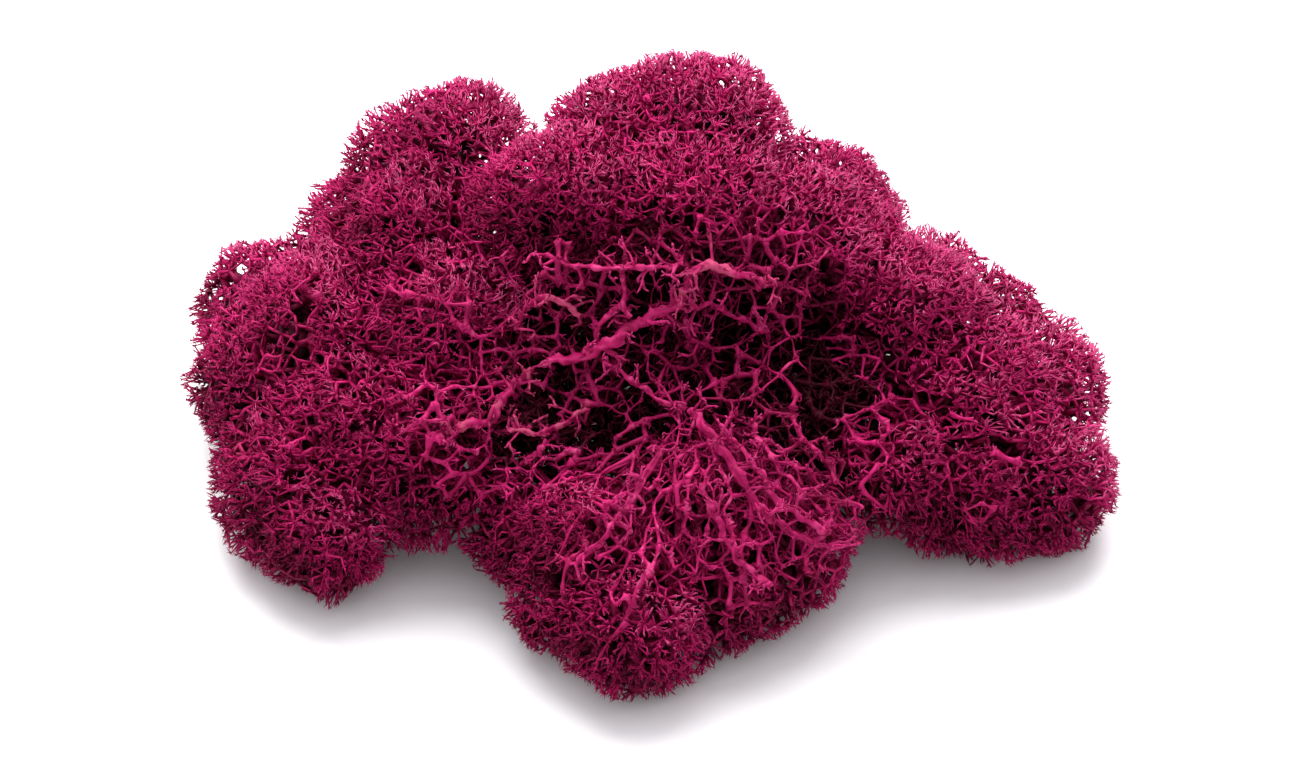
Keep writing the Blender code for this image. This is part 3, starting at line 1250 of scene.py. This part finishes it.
    def twigs(
        self, growths: dict[str, Growth], base: np.ndarray, owner: np.ndarray, age: np.ndarray
    ) -> None:
        """Grow short forked twigs out of the net: each one stalk with two tips.

        Args:
            growths: the pieces' branches, by node.
            base: array (n, 3), where the twigs start.
            owner: index of each one's owner.
            age: the painted light of each one.
        """
        heading = unit(self.rng.normal(size=base.shape) + 0.7 * TOWARDS_VIEW)
        turn = unit(heading + 0.6 * self.rng.normal(size=base.shape))
        knee = base + heading * self.rng.uniform(0.7, 1.5, len(base))[:, None]
        paths = arched(base, knee, heading, turn, np.linspace(0.0, 1.0, 3))
        radii = np.broadcast_to(np.array([0.13, 0.12, 0.11]), (len(base), 3))
        tint = self.rng.uniform(size=len(base))
        twig_light = np.broadcast_to(age[:, None], radii.shape)
        self.share_out(growths, owner, Tubes(paths, radii, 0.9 * twig_light, tint, 3))
        for _ in range(2):
            fork = unit(turn + 0.75 * self.rng.normal(size=base.shape))
            tip = knee + fork * self.rng.uniform(0.5, 1.1, len(base))[:, None]
            ends = arched(knee, tip, turn, fork, np.linspace(0.0, 1.0, 2))
            radii = np.broadcast_to(np.array([0.11, 0.0]), (len(base), 2))
            tips = Tubes(ends, radii, twig_light[:, :2], tint, 3, pointed=True)
            self.share_out(growths, owner, tips)


@dataclass
class BareStem:
    """A thick bare stem with its side twigs.

    Attributes:
        name: of its node.
        node: the stem's solid.
        patchy: how far the dye's own tone varies along the stem, in patches.
        rng: source of chance.
    """

    name: str
    node: bpy.types.Object
    patchy: float
    rng: np.random.Generator

    CORNERS: ClassVar[int] = 6  # of each ring of the solid
    STATIONS: ClassVar[int] = 64
    MARKS: ClassVar[int] = 40
    SLENDER: ClassVar[float] = 0.72  # of its solid's radius, so that its knots reach the solid's skin
    RUN_ON: ClassVar[float] = 0.9  # mm that the stem runs on into its neighbours at each end
    TWIG_STEP: ClassVar[float] = 1.5  # mm of stem for each side twig

    def centre_line(self) -> tuple[np.ndarray, np.ndarray]:
        """Read the stem's line and thickness from its solid.

        The farthest corner from the middle is on an end ring. Each ring is the corners nearest to
        the ring before, and its centre and mean radius are a station of the stem.

        Returns:
            Stations (n, 3) and radii (n,), mm.
        """
        places = np.empty(len(self.node.data.vertices) * 3, np.float32)
        self.node.data.vertices.foreach_get("co", places)
        left = np.unique(np.round(places.reshape(-1, 3).astype(float) / MM, 3), axis=0)
        seek = left[np.linalg.norm(left - left.mean(0), axis=1).argmax()]
        stations, radii = [], []
        while len(left) >= self.CORNERS:
            order = np.argsort(np.linalg.norm(left - seek, axis=1))
            ring = left[order[: self.CORNERS]]
            left = left[order[self.CORNERS :]]
            seek = ring.mean(0)
            stations.append(seek)
            radii.append(np.linalg.norm(ring - seek, axis=1).mean())
        return np.array(stations), np.array(radii)

    def marks(self) -> np.ndarray:
        """Mark places along the stem.

        Returns:
            Array (MARKS, 4) of places and the radius there, mm.
        """
        stations, radii = self.centre_line()
        t = np.linspace(0.0, len(stations) - 1.0, self.MARKS)
        thick = self.SLENDER * np.interp(t, np.arange(len(radii)), radii)
        return np.column_stack([self.smooth_line(stations, t), thick])

    def grow(self) -> Growth:
        """Grow the stem: a gnarled tube on a smooth curve, and twigs that fork off it.

        Returns:
            The branches of the stem.
        """
        growth = Growth(self.name + "_stem", self.rng)
        stations, radii = self.centre_line()
        ahead = unit(stations[-1] - stations[-2]) * self.RUN_ON
        behind = unit(stations[0] - stations[1]) * self.RUN_ON
        stations = np.concatenate([[stations[0] + behind], stations, [stations[-1] + ahead]])
        radii = np.concatenate([[radii[0] * 0.8], radii, [radii[-1] * 0.8]])
        t = np.linspace(0.0, len(stations) - 1.0, self.STATIONS)
        line = self.smooth_line(stations, t)
        thick = self.SLENDER * np.interp(t, np.arange(len(radii)), radii)
        gnarl = 1.0 + np.clip(0.13 * swell(line, 2.2, 17) + 0.08 * swell(line, 0.8, 23), -0.2, 0.25)
        line = line + 0.2 * np.stack([swell(line, 1.7, seed) for seed in (31, 37, 41)], 1)
        age = 0.8 + self.patchy * np.clip(swell(line, 1.6, 43), -1.0, 1.0)[None]
        growth.add(Tubes(line[None], (thick * gnarl)[None], age, np.array([0.7]), 14, rough=0.45))
        self.side_twigs(growth, line, thick)
        return growth

    def smooth_line(self, stations: np.ndarray, t: np.ndarray) -> np.ndarray:
        """A curve through the stations: cubic arcs whose slope at each is half the step across it.

        Args:
            stations: array (n, 3).
            t: array (m,) of places, counted in stations.

        Returns:
            Array (m, 3).
        """
        slope = np.gradient(stations, axis=0)
        low = np.minimum(t.astype(int), len(stations) - 2)
        u = (t - low)[:, None]
        return (
            (2 * u**3 - 3 * u**2 + 1) * stations[low]
            + (u**3 - 2 * u**2 + u) * slope[low]
            + (3 * u**2 - 2 * u**3) * stations[low + 1]
            + (u**3 - u**2) * slope[low + 1]
        )

    def side_twigs(self, growth: Growth, line: np.ndarray, thick: np.ndarray) -> None:
        """Twigs that leave the stem sideways, fork and end in tips.

        Args:
            growth: takes the twigs.
            line: array (n, 3), the stem's line.
            thick: array (n,), its radii.
        """
        length = np.linalg.norm(np.diff(line, axis=0), axis=1).sum()
        count = max(int(length / self.TWIG_STEP), 3)
        pick = self.rng.integers(1, len(line) - 1, count)
        along = unit(np.gradient(line, axis=0))[pick]
        sideways = self.rng.normal(size=(count, 3)) + 0.35 * TOWARDS_VIEW
        sideways = unit(sideways - (sideways * along).sum(1, keepdims=True) * along)
        leave = unit(sideways + 0.5 * along)
        turn = unit(leave + 0.5 * self.rng.normal(size=leave.shape))
        start = line[pick]
        end = start + leave * (thick[pick] + self.rng.uniform(0.8, 2.4, count))[:, None]
        rings = np.linspace(0.0, 1.0, 5)
        paths = arched(start, end, leave, turn, rings)
        base = np.clip(thick[pick] * 0.55, 0.2, 0.42)[:, None]
        radii = base * (1.0 - 0.45 * rings)
        tint = self.rng.uniform(size=count)
        age = np.full(radii.shape, 0.85)
        growth.add(Tubes(paths, radii, age, tint, 6, rough=0.3))
        for _ in range(2):
            fork = unit(turn + 0.7 * self.rng.normal(size=turn.shape))
            knee = end + fork * self.rng.uniform(0.6, 1.4, count)[:, None]
            rings = np.linspace(0.0, 1.0, 3)
            radii = np.broadcast_to(np.array([0.2, 0.17, 0.15]), (count, 3))
            age = np.full(radii.shape, 0.9)
            growth.add(Tubes(arched(end, knee, turn, fork, rings), radii, age, tint, 4))
            for _ in range(2):
                split = unit(fork + 0.7 * self.rng.normal(size=turn.shape))
                tip = knee + split * self.rng.uniform(0.45, 0.9, count)[:, None]
                rings = np.array([0.0, 0.7, 1.0])
                radii = np.broadcast_to(np.array([0.14, 0.11, 0.0]), (count, 3))
                age = np.broadcast_to(np.array([0.9, 0.95, 1.0]), radii.shape)
                paths = arched(knee, tip, fork, split, rings)
                growth.add(Tubes(paths, radii, age, tint, 3, pointed=True))


@dataclass
class Clump:
    """The whole clump: its crowns, the net on its open side and its bare stems.

    Attributes:
        spacing: of the tips, mm.
        deep_spacing: of the tips at the bottom of the hollow, mm.
        back_spacing: of the tips on the back, mm.
        deep_opens: how far the openings thin the crowns at the bottom of the hollow.
        room: how far from a crown its neighbours still melt into it, mm.
        source: where the branches come from, mm.
    """

    spacing: float = 0.47
    deep_spacing: float = 0.6
    back_spacing: float = 0.8
    deep_opens: float = 0.35
    room: float = 4.0
    source: tuple[float, float, float] = (2.0, 0.0, 16.0)

    LAYERS: ClassVar[tuple[NetLayer, ...]] = (
        NetLayer(2.15, (0.0, 1.2), (0.2, 0.5), 6, 1, 2.2),
        NetLayer(1.8, (1.0, 3.4), (0.14, 0.3), 4, 1, 1.6),
    )
    PATCHY: ClassVar[dict[Slot, float]] = {Slot.STEM: 0.1, Slot.PALE_STEM: 0.2}
    # Each finish runs from painted shade at its first stop to painted light at its last.
    FINISHES: ClassVar[dict[Slot, MossFinish]] = {
        Slot.TIPS: MossFinish(
            "dyed_moss",
            (
                (0.0, (0.014, 0.0, 0.001)),
                (0.5, (0.37, 0.005, 0.08)),
                (0.85, (0.56, 0.012, 0.145)),
                # painted highlight: the whitest pink, only on tips facing the lit side
                (1.0, (0.68, 0.085, 0.25)),
            ),
            0.35,
        ),
        # painted shade: a much darker copy of the tips' finish, for crowns deep in the hollow
        Slot.DEEP_TIPS: MossFinish(
            "dyed_moss_deep",
            ((0.0, (0.005, 0.0, 0.0)), (0.6, (0.045, 0.001, 0.008)), (1.0, (0.13, 0.002, 0.026))),
            0.3,
        ),
        Slot.STEM: MossFinish(
            "dyed_stem",
            (
                (0.0, (0.012, 0.0, 0.001)),
                (0.5, (0.23, 0.002, 0.047)),
                (0.85, (0.43, 0.008, 0.108)),
                (1.0, (0.58, 0.04, 0.18)),
            ),
            0.3,
        ),
        Slot.PALE_STEM: MossFinish(
            "pale_stem",
            (
                (0.0, (0.012, 0.0, 0.001)),
                (0.5, (0.23, 0.002, 0.047)),
                (0.84, (0.43, 0.009, 0.108)),
                (1.0, (0.52, 0.065, 0.155)),
            ),
            0.3,
        ),
    }

    def build(self) -> None:
        """Grow every piece, give it its finish and hand it to the frame."""
        slots = {
            entry["node"]: Slot(entry["material_slot"]) for entry in frame["record"]["subparts"]
        }
        materials = {slot: finish.material() for slot, finish in self.FINISHES.items()}
        total = 0
        for name, growth in self.grow(slots).items():
            piece = growth.build()
            piece.data.materials.append(materials[slots[name]])
            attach(piece, Body.ROOT.value)
            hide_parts(name)
            total += len(piece.data.polygons)
            LOG.info("%s: %d triangles", piece.name, len(piece.data.polygons))
        LOG.info("clump: %d triangles", total)

    def grow(self, slots: dict[str, Slot]) -> dict[str, Growth]:
        """Grow the crowns, the stems and then the net over them.

        Args:
            slots: the material slot of each node.

        Returns:
            The branches of each piece, by node.
        """
        crowns = [n for n in sorted(slots) if slots[n] in (Slot.TIPS, Slot.DEEP_TIPS)]
        stems = [
            BareStem(name, frame["nodes"][name], self.PATCHY[slots[name]], generator(1000 + index))
            for index, name in enumerate(n for n in sorted(slots) if n not in crowns)
        ]
        mass = Mass(tuple(Hull.of_node(name, frame["nodes"][name]) for name in crowns))
        marks = {stem.name: stem.marks() for stem in stems}
        all_marks = np.concatenate(list(marks.values()))
        source = np.array(self.source)
        growths = {}
        for index, hull in enumerate(mass.hulls):
            deep = slots[hull.name] is Slot.DEEP_TIPS
            apart = self.back_spacing if hull.name.startswith("back") else self.spacing
            crown = Crown(
                hull=hull,
                mass=mass.near(hull, self.room),
                stems=all_marks,
                source=source,
                spacing=self.deep_spacing if deep else apart,
                opens=self.deep_opens if deep else 1.0,
                rng=generator(index),
            )
            growths[hull.name] = crown.grow()
        for stem in stems:
            growths[stem.name] = stem.grow()
        for index, layer in enumerate(self.LAYERS):
            face = OpenFace(mass, marks, layer, source, generator(900 + index))
            LOG.info("net layer %d: %d links", index + 1, face.grow(growths))
        return growths


@dataclass
class Studio:
    """Pale floor, soft light and the camera.

    Attributes:
        field_width: what the picture takes in across at the target, mm.
        lens: focal length, mm.
        sensor: width of the sensor, mm.
        target: what the camera is aimed at, mm.
        sky_low: strength of the sky near the ground.
        sky_high: strength of the sky overhead.
        key_place: where the soft key light hangs, m.
        key_size: its diameter, m.
        key_power: W.
    """

    field_width: float = 156.0
    lens: float = 220.0
    sensor: float = 36.0
    target: tuple[float, float, float] = (-0.45, -7.6, 21.2)
    sky_low: float = 0.36
    sky_high: float = 1.3
    key_place: tuple[float, float, float] = (-0.05, 0.5, 0.62)
    key_size: float = 1.0
    key_power: float = 15.0

    def build(self) -> None:
        """Set up the floor, the lights and the camera."""
        self.floor()
        self.lights()
        self.camera()

    def floor(self) -> None:
        """A wide plain pale floor."""
        bpy.ops.mesh.primitive_plane_add(size=4.0, location=(0.0, 0.0, 0.0))
        floor = bpy.context.active_object
        floor.name = "floor"
        material = bpy.data.materials.new("pale_floor")
        material.use_nodes = True
        shader = material.node_tree.nodes["Principled BSDF"]
        shader.inputs["Base Color"].default_value = (0.93, 0.92, 0.93, 1.0)
        shader.inputs["Roughness"].default_value = 0.9
        shader.inputs["Specular IOR Level"].default_value = 0.1
        floor.data.materials.append(material)

    def lights(self) -> None:
        """A white sky and one big soft light from behind and above."""
        scene = bpy.context.scene
        scene.view_settings.view_transform = "Standard"
        world = bpy.data.worlds.new("soft_sky")
        scene.world = world
        world.use_nodes = True
        nodes, links = world.node_tree.nodes, world.node_tree.links
        sky = nodes["Background"]
        sky.inputs["Color"].default_value = (0.97, 0.97, 1.0, 1.0)
        where = nodes.new("ShaderNodeTexCoord")
        lean = nodes.new("ShaderNodeVectorMath")
        lean.operation = "DOT_PRODUCT"
        lean.inputs[1].default_value = (-0.12, 0.45, 0.88)
        links.new(where.outputs["Generated"], lean.inputs[0])
        glow = nodes.new("ShaderNodeMapRange")
        glow.interpolation_type = "SMOOTHSTEP"
        glow.inputs["From Min"].default_value = -0.4
        glow.inputs["From Max"].default_value = 0.9
        glow.inputs["To Min"].default_value = self.sky_low
        glow.inputs["To Max"].default_value = self.sky_high
        links.new(lean.outputs["Value"], glow.inputs["Value"])
        links.new(glow.outputs["Result"], sky.inputs["Strength"])
        light = bpy.data.lights.new("key", "AREA")
        light.shape = "DISK"
        light.size = self.key_size
        light.energy = self.key_power
        key = bpy.data.objects.new("key", light)
        key.location = self.key_place
        scene.collection.objects.link(key)
        aim = key.location.copy()
        aim.negate()
        key.rotation_euler = aim.to_track_quat("-Z", "Y").to_euler()

    def camera(self) -> None:
        """A long lens that looks down on the open side from in front."""
        data = bpy.data.cameras.new("camera")
        data.lens = self.lens
        data.sensor_width = self.sensor
        data.clip_end = 10.0
        camera = bpy.data.objects.new("camera", data)
        distance = self.field_width * self.lens / self.sensor
        place = np.array(self.target) + TOWARDS_VIEW * distance
        camera.location = place * MM
        camera.rotation_euler = (math.pi / 2.0 - SLOPE, 0.0, 0.0)
        bpy.context.scene.collection.objects.link(camera)
        bpy.context.scene.camera = camera


def main() -> None:
    """Build the clump and the studio."""
    logging.basicConfig(level=logging.INFO, format="%(message)s", stream=sys.stdout)
    Studio().build()
    Clump().build()


if __name__ == "__main__":
    main()
